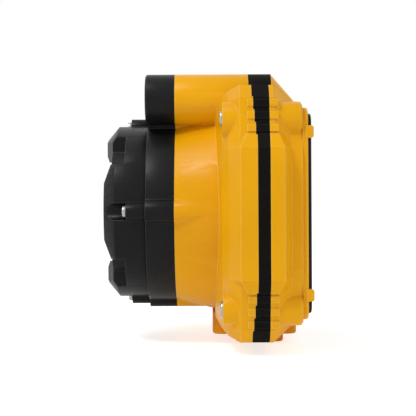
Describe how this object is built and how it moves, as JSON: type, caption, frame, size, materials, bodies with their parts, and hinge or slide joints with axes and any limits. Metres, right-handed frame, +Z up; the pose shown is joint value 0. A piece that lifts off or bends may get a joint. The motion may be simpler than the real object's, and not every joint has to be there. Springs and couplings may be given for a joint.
{
  "type": "rugged compact camera",
  "caption": "Rugged compact camera with a round bumpered lens port, a lamp pod, ribbed corners, a side battery door, rear keys and a tripod base.",
  "frame": {"origin": "centre of the tripod socket's mouth, in the plane that the camera stands on", "axes": "-Y is the way the lens looks, +Z is up, +X is the camera's left side as its user holds it"},
  "size_m": [0.1292, 0.0765, 0.1034],
  "materials": {
    "yellow_shell": "satin",
    "yellow_metal": "satin",
    "yellow_base": "satin",
    "black_shell": "satin",
    "black_trim": "satin",
    "black_inner": "matte",
    "gasket_rubber": "matte",
    "key_rubber": "matte",
    "button_red": "satin",
    "button_grey": "satin",
    "screw_steel": "satin",
    "bar_steel": "polished",
    "brass": "satin",
    "port_glass": "polished",
    "lens_glass": "polished",
    "reflector": "polished",
    "board": "satin",
    "chassis_steel": "satin",
    "aluminium": "satin",
    "display": "gloss",
    "battery": "satin"
  },
  "bodies": {
    "camera_body": {"front_housing": "yellow_shell", "rear_housing": "yellow_shell", "rear_plate": "yellow_metal", "tripod_base": "yellow_base", "lens_base_ring": "black_shell", "lens_bezel": "black_shell", "display_panel": "black_trim", "battery_bay": "black_trim", "port_baffle": "black_inner", "lens_tube": "black_inner", "body_gasket": "gasket_rubber", "base_seal": "gasket_rubber", "port_seal": "gasket_rubber", "button_seals": "gasket_rubber", "key_mat": "gasket_rubber", "door_seal": "gasket_rubber", "housing_screws": "screw_steel", "bezel_screws": "screw_steel", "plate_screws": "screw_steel", "base_screws": "screw_steel", "chassis_screws": "screw_steel", "strap_bar": "bar_steel", "door_pin": "bar_steel", "rocker_pin": "bar_steel", "guide_rods": "bar_steel", "shutter_spring": "bar_steel", "power_spring": "bar_steel", "tripod_insert": "brass", "battery_contacts": "brass", "port_glass": "port_glass", "lamp_window": "port_glass", "display_glass": "port_glass", "front_element": "lens_glass", "lamp_reflector": "reflector", "main_board": "board", "sensor_board": "board", "lamp_board": "board", "key_board": "board", "switch_board": "board", "chassis": "chassis_steel", "sensor_mount": "aluminium", "heat_sink": "aluminium", "focus_motor": "aluminium", "display_module": "display", "battery": "battery"},
    "focus_group": {"focus_cell": "black_inner", "rear_element": "lens_glass"},
    "lead_screw": {"lead_screw": "bar_steel"},
    "shutter_button": {"shutter_button": "button_red"},
    "power_button": {"power_button": "button_grey"},
    "zoom_rocker": {"zoom_rocker": "key_rubber"},
    "centre_key": {"centre_key": "key_rubber"},
    "right_key": {"right_key": "key_rubber"},
    "up_key": {"up_key": "key_rubber"},
    "left_key": {"left_key": "key_rubber"},
    "down_key": {"down_key": "key_rubber"},
    "menu_key": {"menu_key": "key_rubber"},
    "play_key": {"play_key": "key_rubber"},
    "battery_door": {"battery_door": "black_trim"},
    "door_latch": {"door_latch": "button_grey"}
  },
  "joints": [
    {"name": "focus_slide", "type": "slide", "parent": "camera_body", "child": "focus_group", "axis": [0, 1, 0], "range_m": [-0.0025, 0.0025]},
    {"name": "lead_screw_spin", "type": "hinge", "parent": "camera_body", "child": "lead_screw", "pos_m": [0, -0.025, 0.0307], "axis": [0, 1, 0], "range_deg": [-180, 180]},
    {"name": "shutter_press", "type": "slide", "parent": "camera_body", "child": "shutter_button", "axis": [0, 0, -1], "range_m": [0, 0.0015], "stiffness_N_per_m": 700, "springref_m": -0.001, "deforming": ["shutter_spring"]},
    {"name": "power_press", "type": "slide", "parent": "camera_body", "child": "power_button", "axis": [0, 0, -1], "range_m": [0, 0.0008], "stiffness_N_per_m": 700, "springref_m": -0.001, "deforming": ["power_spring"]},
    {"name": "zoom_tilt", "type": "hinge", "parent": "camera_body", "child": "zoom_rocker", "pos_m": [-0.0345, 0.0152, 0.07245], "axis": [0, 0, 1], "range_deg": [-6, 6], "stiffness_Nm_per_rad": 0.05},
    {"name": "centre_key_press", "type": "slide", "parent": "camera_body", "child": "centre_key", "axis": [0, -1, 0], "range_m": [0, 0.0008], "stiffness_N_per_m": 600, "springref_m": -0.001},
    {"name": "right_key_press", "type": "slide", "parent": "camera_body", "child": "right_key", "axis": [0, -1, 0], "range_m": [0, 0.0008], "stiffness_N_per_m": 600, "springref_m": -0.001},
    {"name": "up_key_press", "type": "slide", "parent": "camera_body", "child": "up_key", "axis": [0, -1, 0], "range_m": [0, 0.0008], "stiffness_N_per_m": 600, "springref_m": -0.001},
    {"name": "left_key_press", "type": "slide", "parent": "camera_body", "child": "left_key", "axis": [0, -1, 0], "range_m": [0, 0.0008], "stiffness_N_per_m": 600, "springref_m": -0.001},
    {"name": "down_key_press", "type": "slide", "parent": "camera_body", "child": "down_key", "axis": [0, -1, 0], "range_m": [0, 0.0008], "stiffness_N_per_m": 600, "springref_m": -0.001},
    {"name": "menu_key_press", "type": "slide", "parent": "camera_body", "child": "menu_key", "axis": [0, -1, 0], "range_m": [0, 0.0008], "stiffness_N_per_m": 600, "springref_m": -0.001},
    {"name": "play_key_press", "type": "slide", "parent": "camera_body", "child": "play_key", "axis": [0, -1, 0], "range_m": [0, 0.0008], "stiffness_N_per_m": 600, "springref_m": -0.001},
    {"name": "door_hinge", "type": "hinge", "parent": "camera_body", "child": "battery_door", "pos_m": [-0.06, 0.00455, 0.0503], "axis": [0, 0, -1], "range_deg": [0, 100]},
    {"name": "latch_slide", "type": "slide", "parent": "battery_door", "child": "door_latch", "axis": [0, 0, 1], "range_m": [0, 0.0022]}
  ],
  "couplings": [
    {"joint": "lead_screw_spin", "follows": "focus_slide", "rad_per_m": 1256.6}
  ]
}
